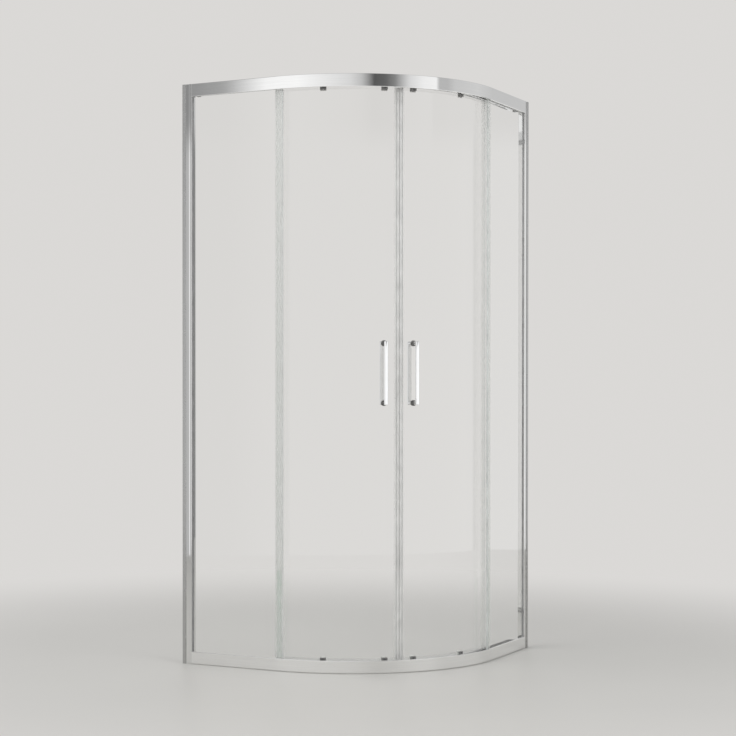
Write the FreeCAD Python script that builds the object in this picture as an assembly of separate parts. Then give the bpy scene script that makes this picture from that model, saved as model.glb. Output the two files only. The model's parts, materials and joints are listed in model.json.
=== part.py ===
import FreeCAD, Part
import os
from math import cos, degrees, hypot, pi, radians, sin, sqrt

# Quadrant shower enclosure, two curved sliding doors between two flat fixed panes.
# Millimetres. The plan is a square whose front corner is a quarter circle.
# x runs along the front, y runs back to the wall, z runs up from the floor.
# "d" is the distance inward from the outer face of the rails.
# Everything on the left is mirrored across the diagonal to make the right.

V = FreeCAD.Vector
os.makedirs("parts", exist_ok=True)

# ---- overall size -----------------------------------------------------------
SIDE = 900.0
RADIUS = 550.0
HEIGHT = 1950.0
HALF = SIDE / 2
CX = RADIUS - HALF
CENTRE = V(-CX, CX, 0)
AXIS_Z = V(0, 0, 1)

# ---- clearances -------------------------------------------------------------
SEAT = 0.1
LOOSE = 0.3
THREAD_FIT = 0.05
BEARING_FIT = 0.06

# ---- rails ------------------------------------------------------------------
RAIL_H = 42.0
RAIL_D = 62.0
SKIN = 2.0
EDGE_ROUND = 1.2
POCKET_BACK = 15.0
LIP = 1.3
POCKET_RIB_Z = HEIGHT - 38.0
INNER_WALL_TOP_Z = HEIGHT - 33.0
SHELF_Z = HEIGHT - 28.0
SHELF_D = 47.5
BASE_POCKET_Z = 38.0
BASE_INNER_Z = 31.0
GUIDE_RIB_Z = 16.0
GUIDE_RIB_IN = 29.0
GUIDE_RIB_OUT = 51.0
WEEP_LENGTH = 14.0
WEEP_HEIGHT = 3.0
WEEP_ANGLES = (-40.0, -24.0, -8.0, 8.0, 24.0, 40.0)

# ---- posts ------------------------------------------------------------------
CHANNEL_W = 24.0
COVER_W = 12.0
POST_D = 30.0
CHANNEL_T = 2.0
STEM_BACK = 8.0
NOSE_START = 24.5
NOSE_END = 35.0
SHOULDER_W = 3.5
SHOULDER_D = 1.5
GROOVE_BACK = 14.0
GROOVE_FRONT = 4.0
GROOVE_DEPTH = 21.0
STEM_PLAY = 0.3
CHAMBER_IN = 17.0
CHAMBER_OUT = 26.0
WALL_HOLE_R = 3.0
WALL_HOLE_Z = (150.0, 750.0, HEIGHT - 750.0, HEIGHT - 150.0)
ADJUST_Z = (200.0, HEIGHT / 2, HEIGHT - 200.0)

# ---- glass ------------------------------------------------------------------
GLASS_T = 6.0
FIXED_D = 9.0
FIXED_EDGE_X = -CX + 26.0
FIXED_TUCK = 17.0
GASKET_LIP = 3.0
FIXED_BOTTOM = 8.0
FIXED_TOP = HEIGHT - 12.0
DOOR_R = RADIUS - 35.0
DOOR_BOTTOM = 36.0
DOOR_TOP = HEIGHT - 37.0
DOOR_FRONT = 12.0
DOOR_REAR_ANGLE = 46.0

# ---- running gear -----------------------------------------------------------
PIN_R = RADIUS - 40.0
FRONT_ANGLE = 5.55
REAR_ANGLE = 27.95
TRAVEL_ANGLE = 28.0
STEER = 0.07
WHEEL_R = 10.0
WHEEL_W = 6.0
WHEEL_D = 51.5
AXLE_R = 2.0
BOLT_R = 2.0
BOLT_HEAD_R = 4.0
HANGER_W = 20.0
HANGER_T = 3.0
CARRIAGE_L = 22.0
CARRIAGE_W = 10.0
NOTCH_R = 4.0
TOP_SCREW_Z = HEIGHT - 42.0
BOTTOM_SCREW_Z = 42.5
CAP_T = 3.5
CAP_H = 9.0
SHOE_W = 12.0
SHOE_L = 24.0
SHOE_Z = 6.0
SHOE_H = 11.0

# ---- handle -----------------------------------------------------------------
HANDLE_ANGLE = 5.74
HANDLE_Z = HEIGHT / 2 + 3.5
HANDLE_L = 209.0
HANDLE_R = 6.5
HANDLE_REACH = 29.5
POST_R = 6.0
POST_SPACING = 196.0
STUD_R = 2.5
GLASS_HOLE_R = 4.0
WASHER_T = 1.2
WASHER_R = 9.5


def round_corners(points, radii):
    """Plan the edges of a closed outline whose corners may be rounded."""
    count = len(points)
    pieces = []
    for i in range(count):
        x, y = points[i]
        r = radii.get(i, 0.0)
        if not r:
            pieces.append(((x, y), None, (x, y)))
            continue
        ax, ay = points[i - 1]
        bx, by = points[(i + 1) % count]
        la = hypot(ax - x, ay - y)
        lb = hypot(bx - x, by - y)
        ux, uy = (ax - x) / la, (ay - y) / la
        wx, wy = (bx - x) / lb, (by - y) / lb
        half = (ux * wx + uy * wy)
        half = sqrt(max(0.0, (1 - half) / 2))
        tangent = r * sqrt(1 - half * half) / half
        reach = r / half
        mx, my = ux + wx, uy + wy
        ml = hypot(mx, my)
        mid = (x + mx / ml * (reach - r), y + my / ml * (reach - r))
        start = (x + ux * tangent, y + uy * tangent)
        end = (x + wx * tangent, y + wy * tangent)
        pieces.append((start, mid, end))
    return pieces


def outline_face(points, place, radii=None):
    """A flat face from an outline, with rounded corners where asked."""
    pieces = round_corners(points, radii or {})
    edges = []
    for i, (start, mid, end) in enumerate(pieces):
        if mid is not None:
            arc = Part.Arc(place(*start), place(*mid), place(*end))
            edges.append(arc.toShape())
        nxt = pieces[(i + 1) % len(pieces)][0]
        if hypot(nxt[0] - end[0], nxt[1] - end[1]) > 1e-6:
            edges.append(Part.makeLine(place(*end), place(*nxt)))
    return Part.Face(Part.Wire(edges))


def mirrored(shape):
    """The matching shape on the other side of the diagonal."""
    return shape.mirror(V(0, 0, 0), V(1, 1, 0))


def joined(shapes):
    """One solid from shapes that touch or overlap."""
    whole = shapes[0].fuse(list(shapes[1:]))
    return whole.removeSplitter()


def box(x0, x1, y0, y1, z0, z1):
    return Part.makeBox(x1 - x0, y1 - y0, z1 - z0, V(x0, y0, z0))


def wall_box(x0, x1, d0, d1, z0, z1):
    """A box beside the left wall, set by its depth from the outer face."""
    return box(x0, x1, d0 - HALF, d1 - HALF, z0, z1)


def polar(angle):
    """Outward and leftward unit vectors at an angle left of the diagonal."""
    p = radians(-45.0 - angle)
    return V(cos(p), sin(p), 0), V(sin(p), -cos(p), 0)


def at(r, angle, z, shift=0.0):
    """A point on a circle about the centre of the curve."""
    out, left = polar(angle)
    return CENTRE + out * r + left * shift + V(0, 0, z)


def bend(points, a0, a1, radii=None):
    """Sweep an (r, z) outline about the centre from one angle to another."""
    face = outline_face(points, lambda r, z: at(r, a0, z), radii)
    return face.revolve(CENTRE, AXIS_Z, -(a1 - a0))


def sector(r0, r1, a0, a1, z0, z1):
    return bend([(r0, z0), (r1, z0), (r1, z1), (r0, z1)], a0, a1)


def along(t):
    """Angle that a length along the door glass takes up."""
    return degrees(t / DOOR_R)


def local_block(angle, r0, r1, w, z0, z1, radii=None):
    """A flat-sided block square to the radius at an angle."""
    out, left = polar(angle)

    def place(u, v):
        return CENTRE + out * u + left * v + V(0, 0, z0)

    pts = [(r0, -w / 2), (r1, -w / 2), (r1, w / 2), (r0, w / 2)]
    return outline_face(pts, place, radii).extrude(V(0, 0, z1 - z0))


def radial_rod(angle, r0, r1, z, radius, shift=0.0):
    out, left = polar(angle)
    start = CENTRE + out * r0 + left * shift + V(0, 0, z)
    return Part.makeCylinder(radius, r1 - r0, start, out)


def upright_rod(angle, r, z0, z1, radius):
    return Part.makeCylinder(radius, z1 - z0, at(r, angle, z0), AXIS_Z)


def countersunk(tip, direction, length, shank=2.0, head=3.9, depth=2.0):
    """A countersunk screw that starts at its flush head."""
    cone = Part.makeCone(head, shank, depth, tip, direction)
    rod = Part.makeCylinder(shank, length, tip, direction)
    recess = Part.makeBox(1.0, 4.0, 1.4, V(-0.5, -2.0, 0))
    cross = recess.fuse(Part.makeBox(4.0, 1.0, 1.4, V(-2.0, -0.5, 0)))
    cross.Placement = FreeCAD.Placement(tip, FreeCAD.Rotation(AXIS_Z, direction))
    return cone.fuse(rod).cut(cross).removeSplitter()


def countersink_hole(tip, direction, length, shank=2.0, head=3.9, depth=2.0):
    grown = shank + THREAD_FIT
    cone = Part.makeCone(head + THREAD_FIT, grown, depth, tip, direction)
    rod = Part.makeCylinder(grown, length, tip, direction)
    return cone.fuse(rod)


# ---- rails ------------------------------------------------------------------
RAIL_START_X = -HALF + NOSE_END


def bent_rail(points, radii):
    """Straight, quarter circle, straight: one bent extrusion."""
    def leg_place(d, z):
        return V(RAIL_START_X, d - HALF, z)

    def arc_place(d, z):
        return V(-CX, d - HALF, z)

    leg = outline_face(points, leg_place, radii)
    leg = leg.extrude(V(-CX - RAIL_START_X, 0, 0))
    arc = outline_face(points, arc_place, radii).revolve(CENTRE, AXIS_Z, 90)
    return joined([arc, leg, mirrored(leg)])


def top_rail_outline():
    low = HEIGHT - RAIL_H
    web = HEIGHT - SKIN
    rib = POCKET_BACK + SKIN
    back = RAIL_D - SKIN
    return [
        (0, low), (SKIN + LIP, low), (SKIN + LIP, low + 1.6), (SKIN, low + 1.6),
        (SKIN, web), (POCKET_BACK, web),
        (POCKET_BACK, POCKET_RIB_Z), (rib, POCKET_RIB_Z), (rib, web),
        (back, web), (back, SHELF_Z), (SHELF_D, SHELF_Z),
        (SHELF_D, SHELF_Z - SKIN), (back, SHELF_Z - SKIN),
        (back, INNER_WALL_TOP_Z), (RAIL_D, INNER_WALL_TOP_Z),
        (RAIL_D, HEIGHT), (0, HEIGHT),
    ]


def bottom_rail_outline():
    rib = POCKET_BACK + SKIN
    back = RAIL_D - SKIN
    ina = GUIDE_RIB_IN - SKIN
    outb = GUIDE_RIB_OUT + SKIN
    return [
        (0, 0), (RAIL_D, 0), (RAIL_D, BASE_INNER_Z), (back, BASE_INNER_Z),
        (back, SKIN), (outb, SKIN), (outb, GUIDE_RIB_Z),
        (GUIDE_RIB_OUT, GUIDE_RIB_Z), (GUIDE_RIB_OUT, SKIN),
        (GUIDE_RIB_IN, SKIN), (GUIDE_RIB_IN, GUIDE_RIB_Z),
        (ina, GUIDE_RIB_Z), (ina, SKIN), (rib, SKIN),
        (rib, BASE_POCKET_Z), (POCKET_BACK, BASE_POCKET_Z),
        (POCKET_BACK, SKIN), (SKIN, SKIN), (SKIN, RAIL_H - 1.6),
        (SKIN + LIP, RAIL_H - 1.6), (SKIN + LIP, RAIL_H), (0, RAIL_H),
    ]


END_SCREW_D = 22.0
END_SCREW_TOP = (HEIGHT - 30.0, HEIGHT - 10.0)
END_SCREW_LOW = (8.0, 24.0)
RAIL_SCREW_D = 38.0
BLOCK_L = 12.0
SCREW_L = 14.0
NOSE_WALL = 3.0


def rail_screw_spots():
    x = RAIL_START_X + BLOCK_L / 2
    y = RAIL_SCREW_D - HALF
    return [
        (V(x, y, HEIGHT), V(0, 0, -1)),
        (V(x, y, 0), V(0, 0, 1)),
    ]


def post_screw_spots():
    x = RAIL_START_X - NOSE_WALL
    y = END_SCREW_D - HALF
    return [(V(x, y, z), V(1, 0, 0)) for z in END_SCREW_TOP + END_SCREW_LOW]


def make_rails():
    top = bent_rail(top_rail_outline(), {0: 0.6, 15: 0.6, 16: EDGE_ROUND, 17: EDGE_ROUND})
    base = bent_rail(bottom_rail_outline(), {2: 0.8, 21: EDGE_ROUND})
    head, foot = rail_screw_spots()
    cut = countersink_hole(head[0], head[1], SCREW_L)
    top = top.cut([cut, mirrored(cut)])
    cut = countersink_hole(foot[0], foot[1], SCREW_L)
    cuts = [cut, mirrored(cut)]
    for angle in WEEP_ANGLES:
        z0 = SKIN
        z1 = SKIN + WEEP_HEIGHT
        r = RADIUS - RAIL_D
        slot = local_block(angle, r - 2, r + SKIN + 1, WEEP_LENGTH, z0, z1)
        cuts.append(slot)
    return top, base.cut(cuts)


# ---- posts ------------------------------------------------------------------
def upright(points, z0, z1, radii=None):
    """Extrude a plan outline given as (distance from wall, depth)."""
    face = outline_face(points, lambda u, d: V(u - HALF, d - HALF, z0), radii)
    return face.extrude(V(0, 0, z1 - z0))


def make_wall_channel():
    t = CHANNEL_T
    w = CHANNEL_W
    c = COVER_W
    pts = [(0, 0), (c, 0), (c, t), (t, t), (t, POST_D - t), (w, POST_D - t), (w, POST_D), (0, POST_D)]
    body = upright(pts, 0, HEIGHT, {1: 0.8, 6: 0.8})
    cuts = []
    for z in WALL_HOLE_Z:
        start = V(-HALF - 1, POST_D / 2 - HALF, z)
        cuts.append(Part.makeCylinder(WALL_HOLE_R, t + 2, start, V(1, 0, 0)))
    for z in ADJUST_Z:
        start = V(ADJUST_X, POST_D - t - 1 - HALF, z)
        cuts.append(Part.makeCylinder(2.2, t + 2, start, V(0, 1, 0)))
    return body.cut(cuts)


ADJUST_X = -HALF + 20.0


def make_side_profile():
    t = CHANNEL_T
    d0 = t + STEM_PLAY
    d1 = POST_D - t - STEM_PLAY
    groove = NOSE_END - GROOVE_DEPTH
    pts = [
        (STEM_BACK, d0), (NOSE_START, d0), (NOSE_START, SHOULDER_D),
        (NOSE_START + SHOULDER_W, 0), (NOSE_END, 0),
        (NOSE_END, GROOVE_FRONT), (groove, GROOVE_FRONT),
        (groove, GROOVE_BACK), (NOSE_END, GROOVE_BACK),
        (NOSE_END, POST_D), (NOSE_START, POST_D), (NOSE_START, d1), (STEM_BACK, d1),
    ]
    body = upright(pts, 0, HEIGHT, {2: 0.5, 3: 7.0, 4: EDGE_ROUND, 9: EDGE_ROUND, 10: 0.8})
    x0 = -HALF + STEM_BACK + 2
    x1 = RAIL_START_X - NOSE_WALL
    cuts = [wall_box(x0, x1, CHAMBER_IN, CHAMBER_OUT, -1, HEIGHT + 1)]
    for tip, way in post_screw_spots():
        cuts.append(countersink_hole(tip, way, SCREW_L))
        back = V(-HALF + STEM_BACK - 1, tip.y, tip.z)
        cuts.append(Part.makeCylinder(4.2, 4, back, way))
    for z in ADJUST_Z:
        start = V(ADJUST_X, CHAMBER_OUT - 2 - HALF, z)
        cuts.append(Part.makeCylinder(2.0 + THREAD_FIT, 8, start, V(0, 1, 0)))
    return body.cut(cuts)


def make_adjusting_screws():
    screws = []
    for z in ADJUST_Z:
        face = V(ADJUST_X, POST_D - HALF, z)
        head = Part.makeCylinder(4.0, 2.4, face, V(0, 1, 0))
        shank = Part.makeCylinder(2.0, 10, V(ADJUST_X, POST_D - 10 - HALF, z), V(0, 1, 0))
        slot_a = box(ADJUST_X - 2, ADJUST_X + 2, POST_D + 1.2 - HALF, POST_D + 3 - HALF, z - 0.5, z + 0.5)
        slot_b = box(ADJUST_X - 0.5, ADJUST_X + 0.5, POST_D + 1.2 - HALF, POST_D + 3 - HALF, z - 2, z + 2)
        screws.append(head.fuse(shank).cut([slot_a, slot_b]).removeSplitter())
    return screws


def make_end_blocks():
    x = RAIL_START_X
    rib = POCKET_BACK + SKIN + LOOSE
    back = RAIL_D - SKIN - LOOSE
    top_z = HEIGHT - SKIN
    top_pts = [
        (rib, top_z), (back, top_z), (back, SHELF_Z + LOOSE),
        (SHELF_D - LOOSE, SHELF_Z + LOOSE), (SHELF_D - LOOSE, POCKET_RIB_Z),
        (rib, POCKET_RIB_Z),
    ]
    ina = GUIDE_RIB_IN - SKIN
    outb = GUIDE_RIB_OUT + SKIN
    over = GUIDE_RIB_Z + LOOSE
    low_pts = [
        (rib, SKIN), (ina - LOOSE, SKIN), (ina - LOOSE, over),
        (GUIDE_RIB_IN + LOOSE, over), (GUIDE_RIB_IN + LOOSE, SKIN),
        (GUIDE_RIB_OUT - LOOSE, SKIN), (GUIDE_RIB_OUT - LOOSE, over),
        (outb + LOOSE, over), (outb + LOOSE, SKIN), (back, SKIN),
        (back, BASE_INNER_Z - 1), (rib, BASE_INNER_Z - 1),
    ]
    blocks = []
    head, foot = rail_screw_spots()
    for pts, spot in ((top_pts, head), (low_pts, foot)):
        face = outline_face(pts, lambda d, z: V(x, d - HALF, z))
        body = face.extrude(V(BLOCK_L, 0, 0))
        cuts = [countersink_hole(spot[0], spot[1], SCREW_L)]
        for tip, way in post_screw_spots():
            cuts.append(countersink_hole(tip, way, SCREW_L))
        blocks.append(body.cut(cuts))
    return blocks


# ---- fixed panes ------------------------------------------------------------
FIXED_IN = FIXED_D - GLASS_T / 2
FIXED_OUT = FIXED_D + GLASS_T / 2
FIXED_START_X = RAIL_START_X - FIXED_TUCK
GASKET_END_X = FIXED_EDGE_X - 24.0


def make_fixed_glass():
    body = wall_box(FIXED_START_X, FIXED_EDGE_X, FIXED_IN, FIXED_OUT, FIXED_BOTTOM, FIXED_TOP)
    edges = [e for e in body.Edges if abs(e.Length - GLASS_T) > 0.1]
    return body.makeChamfer(0.6, edges)


def make_glazing_gasket():
    """One strip folded round the top, wall and bottom edges of the pane."""
    base = 3.0
    x0 = FIXED_START_X - 2.0
    groove_z0 = FIXED_BOTTOM - base
    groove_z1 = FIXED_TOP + base
    front = GROOVE_FRONT + SEAT
    rear = GROOVE_BACK - SEAT
    show0 = RAIL_H + 0.5
    show1 = HEIGHT - RAIL_H - 0.5
    pieces = [
        wall_box(x0, RAIL_START_X, front, rear, groove_z0, groove_z1),
        wall_box(RAIL_START_X, RAIL_START_X + GASKET_LIP, front, rear, show0, show1),
    ]
    pocket0 = SKIN + LIP + 0.2
    pocket1 = POCKET_BACK - 0.2
    pieces.append(wall_box(RAIL_START_X, GASKET_END_X, pocket0, pocket1, groove_z0, BASE_POCKET_Z + 2))
    pieces.append(wall_box(RAIL_START_X, GASKET_END_X, pocket0, pocket1, HEIGHT - RAIL_H + 0.4, groove_z1))
    pieces.append(wall_box(RAIL_START_X, RAIL_START_X + GASKET_LIP, front, rear, show0 - 5, show1 + 5))
    body = joined(pieces)
    void = wall_box(
        FIXED_START_X, FIXED_EDGE_X + 20, FIXED_IN, FIXED_OUT, FIXED_BOTTOM, FIXED_TOP)
    return body.cut(void)


def make_edge_seal():
    """Clear strip on the free edge of a fixed pane, with an inward blade."""
    e = FIXED_EDGE_X
    pts = [
        (e - 22, FIXED_IN - 1.5), (e + 4.5, FIXED_IN - 1.5), (e + 6, FIXED_D),
        (e + 4.5, FIXED_OUT + 1.5), (e - 20, FIXED_OUT + 1.5), (e - 20.6, FIXED_OUT + 12),
        (e - 22, FIXED_OUT + 12), (e - 22, FIXED_OUT), (e, FIXED_OUT),
        (e, FIXED_IN), (e - 22, FIXED_IN),
    ]
    face = outline_face(pts, lambda x, d: V(x, d - HALF, 0), {1: 1.2, 2: 2.5, 3: 1.2})
    z0 = RAIL_H + 0.6
    z1 = HEIGHT - RAIL_H - 0.6
    body = face.extrude(V(0, 0, z1 - z0))
    body.translate(V(0, 0, z0))
    return body


# ---- doors ------------------------------------------------------------------
R_IN = DOOR_R - GLASS_T / 2
R_OUT = DOOR_R + GLASS_T / 2
FRONT_EDGE = along(DOOR_FRONT)


def glass_notch(angle, z_screw, opens_up):
    rod = radial_rod(angle, R_IN - 5, R_OUT + 5, z_screw, NOTCH_R)
    z_far = DOOR_TOP + 5 if opens_up else DOOR_BOTTOM - 5
    lo, hi = min(z_screw, z_far), max(z_screw, z_far)
    slot = local_block(angle, R_IN - 5, R_OUT + 5, 2 * NOTCH_R, lo, hi)
    return rod.fuse(slot)


def handle_hole_heights():
    return (HANDLE_Z - POST_SPACING / 2, HANDLE_Z + POST_SPACING / 2)


def make_door_glass():
    ch = 0.6
    pts = [(R_IN, DOOR_BOTTOM), (R_OUT, DOOR_BOTTOM), (R_OUT, DOOR_TOP), (R_IN, DOOR_TOP)]
    pane = bend(
        [(R_IN + ch, pts[0][1]), (R_OUT - ch, pts[0][1]), (R_OUT, pts[0][1] + ch),
         (R_OUT, pts[2][1] - ch), (R_OUT - ch, pts[2][1]), (R_IN + ch, pts[2][1]),
         (R_IN, pts[2][1] - ch), (R_IN, pts[0][1] + ch)],
        FRONT_EDGE, DOOR_REAR_ANGLE)
    cuts = []
    for angle in (FRONT_ANGLE, REAR_ANGLE):
        cuts.append(glass_notch(angle, TOP_SCREW_Z, True))
        cuts.append(glass_notch(angle, BOTTOM_SCREW_Z, False))
    for z in handle_hole_heights():
        cuts.append(radial_rod(HANDLE_ANGLE, R_IN - 5, R_OUT + 5, z, GLASS_HOLE_R))
    return pane.cut(cuts)


MAGNET_HALF = 5.0
LEG_T = 1.5
SEAL_BOTTOM = DOOR_BOTTOM + 1.0
SEAL_TOP = DOOR_TOP - 1.0


def make_magnet_profile():
    a_face = along(0.4)
    a_back = along(DOOR_FRONT - 0.2)
    a_leg = along(17.4)
    z0, z1 = SEAL_BOTTOM, SEAL_TOP
    chamber = sector(DOOR_R - MAGNET_HALF, DOOR_R + MAGNET_HALF, a_face, a_back, z0, z1)
    legs = [
        sector(R_IN - SEAT - LEG_T, R_IN - SEAT, a_back, a_leg, z0, z1),
        sector(R_OUT + SEAT, R_OUT + SEAT + LEG_T, a_back, a_leg, z0, z1),
    ]
    body = joined([chamber] + legs)
    void = sector(DOOR_R - 3.8, DOOR_R + 3.8, along(1.6), along(8.4), z0 - 1, z1 + 1)
    bulb = sector(DOOR_R - 2.2, DOOR_R + 2.2, along(9.4), along(10.8), z0 - 1, z1 + 1)
    return body.cut([void, bulb])


def make_magnet_strip():
    return sector(DOOR_R - 3.5, DOOR_R + 3.5, along(1.9), along(8.1), SEAL_BOTTOM + 2, SEAL_TOP - 2)


BLADE_ANGLE = 44.85
BLADE_REACH = 14.0


def make_rear_seal():
    z0, z1 = SEAL_BOTTOM, SEAL_TOP
    a_leg = DOOR_REAR_ANGLE - along(26.0)
    a_web0 = DOOR_REAR_ANGLE + along(0.1)
    a_web1 = DOOR_REAR_ANGLE + along(1.9)
    a_end = DOOR_REAR_ANGLE + along(7.0)
    inner = sector(R_IN - SEAT - LEG_T, R_IN - SEAT, a_leg, a_web1, z0, z1)
    outer = sector(R_OUT + SEAT, R_OUT + SEAT + LEG_T, a_leg, a_web1, z0, z1)
    web = sector(R_IN - SEAT - LEG_T, R_OUT + SEAT + LEG_T, a_web0, a_web1, z0, z1)
    lip = sector(R_IN - SEAT - LEG_T, R_IN - SEAT, a_web1, a_end, z0, z1)
    blade = sector(
        R_OUT + SEAT + LEG_T / 2, R_OUT + BLADE_REACH,
        BLADE_ANGLE - along(0.7), BLADE_ANGLE + along(0.7), z0, z1)
    return joined([web, inner, outer, lip, blade])


def make_drip_seal():
    a0 = along(18.0)
    a1 = DOOR_REAR_ANGLE - along(27.0)
    leg_top = DOOR_BOTTOM + 7.5
    web_z0 = DOOR_BOTTOM - 1.6
    web_z1 = DOOR_BOTTOM - SEAT
    r0 = R_IN - SEAT - LEG_T
    r1 = R_OUT + SEAT + LEG_T
    pts = [
        (r0, web_z0), (DOOR_R - 0.6, web_z0), (DOOR_R - 0.6, web_z0 - 1.8),
        (DOOR_R + 0.6, web_z0 - 1.8), (DOOR_R + 0.6, web_z0), (r1, web_z0),
        (r1, leg_top), (r1 - LEG_T, leg_top), (r1 - LEG_T, web_z1),
        (r0 + LEG_T, web_z1), (r0 + LEG_T, leg_top), (r0, leg_top),
    ]
    body = bend(pts, a0, a1)
    cuts = []
    for angle in (FRONT_ANGLE, REAR_ANGLE):
        cuts.append(local_block(angle, r0 - 5, r1 + 5, HANGER_W + 3, DOOR_BOTTOM - SEAT, leg_top + 5))
    return body.cut(cuts)


def make_handle(side):
    """Bar and two feet on one side of the glass; side is +1 outside, -1 inside."""
    bar_r = DOOR_R + side * HANDLE_REACH
    face = DOOR_R + side * (GLASS_T / 2 + SEAT + WASHER_T)
    z0 = HANDLE_Z - HANDLE_L / 2
    bar = upright_rod(HANDLE_ANGLE, bar_r, z0, z0 + HANDLE_L, HANDLE_R)
    bar = bar.makeFillet(2.0, [e for e in bar.Edges if e.Closed and e.Length > 10])
    lo, hi = min(face, bar_r), max(face, bar_r)
    feet = [radial_rod(HANDLE_ANGLE, lo, hi, z, POST_R) for z in handle_hole_heights()]
    body = joined([bar] + feet)
    deep = STUD_HALF + 0.5
    cuts = []
    for z in handle_hole_heights():
        cuts.append(radial_rod(HANDLE_ANGLE, DOOR_R - deep, DOOR_R + deep, z, STUD_R + THREAD_FIT))
    return body.cut(cuts)


STUD_HALF = 17.0


def make_handle_studs():
    return [
        radial_rod(HANDLE_ANGLE, DOOR_R - STUD_HALF, DOOR_R + STUD_HALF, z, STUD_R)
        for z in handle_hole_heights()
    ]


def make_handle_washers():
    rings = []
    tall = POST_SPACING + 60
    low = CENTRE + V(0, 0, HANDLE_Z - tall / 2)
    outside = Part.makeCylinder(R_OUT + SEAT, tall, low)
    inside = Part.makeCylinder(R_IN - SEAT, tall, low)
    for z in handle_hole_heights():
        hole = radial_rod(HANDLE_ANGLE, R_IN - 10, R_OUT + 10, z, STUD_R + LOOSE)
        outer = radial_rod(HANDLE_ANGLE, DOOR_R, R_OUT + SEAT + WASHER_T, z, WASHER_R)
        inner = radial_rod(HANDLE_ANGLE, R_IN - SEAT - WASHER_T, DOOR_R, z, WASHER_R)
        rings.append(outer.cut([outside, hole]))
        rings.append(inner.common(inside).cut(hole))
    return rings


# ---- running gear -----------------------------------------------------------
PLATE_R1 = R_IN - 0.4
PLATE_R0 = PLATE_R1 - HANGER_T
BOSS_TOP = SHELF_Z + 4.0
CARRIAGE_Z0 = BOSS_TOP + LOOSE
CARRIAGE_Z1 = CARRIAGE_Z0 + 14.7
AXLE_Z = SHELF_Z + LOOSE + WHEEL_R
CAP_R0 = R_OUT + 0.4
CAP_R1 = CAP_R0 + CAP_T
CLAMP_SCREW_L = CAP_R1 - PLATE_R0 + 1.0


def make_hanger(angle):
    plate = local_block(angle, PLATE_R0, PLATE_R1, HANGER_W, DOOR_TOP - 13, SHELF_Z + 1.5)
    boss = upright_rod(angle, PIN_R, SHELF_Z - 6, BOSS_TOP, 4.0)
    bore = upright_rod(angle, PIN_R, SHELF_Z - 7, BOSS_TOP + 1, BOLT_R + THREAD_FIT)
    screw = radial_rod(angle, PLATE_R0 - 1, PLATE_R1 + 1, TOP_SCREW_Z, 2.0 + THREAD_FIT)
    return joined([plate, boss]).cut([bore, screw])


def make_hanger_bolt(angle):
    shank = upright_rod(angle, PIN_R, SHELF_Z - 4, CARRIAGE_Z1 + LOOSE, BOLT_R)
    head = upright_rod(angle, PIN_R, CARRIAGE_Z1 + LOOSE, CARRIAGE_Z1 + LOOSE + 3.2, BOLT_HEAD_R)
    across = 3.4 / sqrt(3)
    pts = [(across * cos(k * pi / 3), across * sin(k * pi / 3)) for k in range(6)]
    centre = at(PIN_R, angle, CARRIAGE_Z1 + LOOSE + 1.4)
    key = outline_face(pts, lambda u, v: centre + V(u, v, 0)).extrude(V(0, 0, 3))
    return shank.fuse(head).cut(key).removeSplitter()


def make_carriage(angle):
    r0 = PIN_R - CARRIAGE_W / 2
    r1 = PIN_R + CARRIAGE_W / 2
    body = local_block(angle, r0, r1, CARRIAGE_L, CARRIAGE_Z0, CARRIAGE_Z1, {0: 2, 1: 2, 2: 2, 3: 2})
    wheel_in = RADIUS - WHEEL_D + WHEEL_W / 2
    wheel_out = RADIUS - WHEEL_D - WHEEL_W / 2
    collar = radial_rod(angle, wheel_in + 0.5, r0 + 1, AXLE_Z, 3.4)
    axle = radial_rod(angle, wheel_out - 0.5, r0 + 1, AXLE_Z, AXLE_R)
    clip = radial_rod(angle, wheel_out - 2.0, wheel_out - 0.5, AXLE_Z, 3.2)
    bore = upright_rod(angle, PIN_R, CARRIAGE_Z0 - 1, CARRIAGE_Z1 + 1, BOLT_R + BEARING_FIT)
    return joined([body, collar, axle, clip]).cut(bore)


def make_wheel(angle):
    r0 = RADIUS - WHEEL_D - WHEEL_W / 2
    disc = radial_rod(angle, r0, r0 + WHEEL_W, AXLE_Z, WHEEL_R)
    disc = disc.makeFillet(0.8, [e for e in disc.Edges if e.Closed and e.Length > 10])
    cuts = [radial_rod(angle, r0 - 1, r0 + WHEEL_W + 1, AXLE_Z, AXLE_R + BEARING_FIT)]
    for start in (r0 - 0.01, r0 + WHEEL_W - 0.8):
        outer = radial_rod(angle, start, start + 0.81, AXLE_Z, 7.6)
        inner = radial_rod(angle, start, start + 0.81, AXLE_Z, 4.4)
        cuts.append(outer.cut(inner))
    return disc.cut(cuts)


def make_cap(angle, z):
    body = local_block(angle, CAP_R0, CAP_R1, HANGER_W, z - CAP_H / 2, z + CAP_H / 2, {1: 1.6, 2: 1.6})
    out, left = polar(angle)
    return body.cut(countersink_hole(at(CAP_R1, angle, z), out * -1, CLAMP_SCREW_L))


def make_clamp_screw(angle, z):
    out, left = polar(angle)
    return countersunk(at(CAP_R1, angle, z), out * -1, CLAMP_SCREW_L)


def make_guide(angle):
    plate = local_block(angle, PLATE_R0, PLATE_R1, HANGER_W, DOOR_BOTTOM + 1, DOOR_BOTTOM + 13)
    stem_r1 = R_IN - SEAT - LEG_T - LOOSE
    stem = local_block(angle, stem_r1 - 6, stem_r1, 12, SHOE_Z + 2, DOOR_BOTTOM + 13)
    shoe_r = PIN_R
    shoe = local_block(
        angle, shoe_r - SHOE_W / 2, shoe_r + SHOE_W / 2, SHOE_L, SHOE_Z, SHOE_Z + SHOE_H,
        {0: 5, 1: 5, 2: 5, 3: 5})
    body = joined([plate, stem, shoe])
    return body.cut(radial_rod(angle, stem_r1 - 8, PLATE_R1 + 1, BOTTOM_SCREW_Z, 2.0 + THREAD_FIT))


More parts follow.
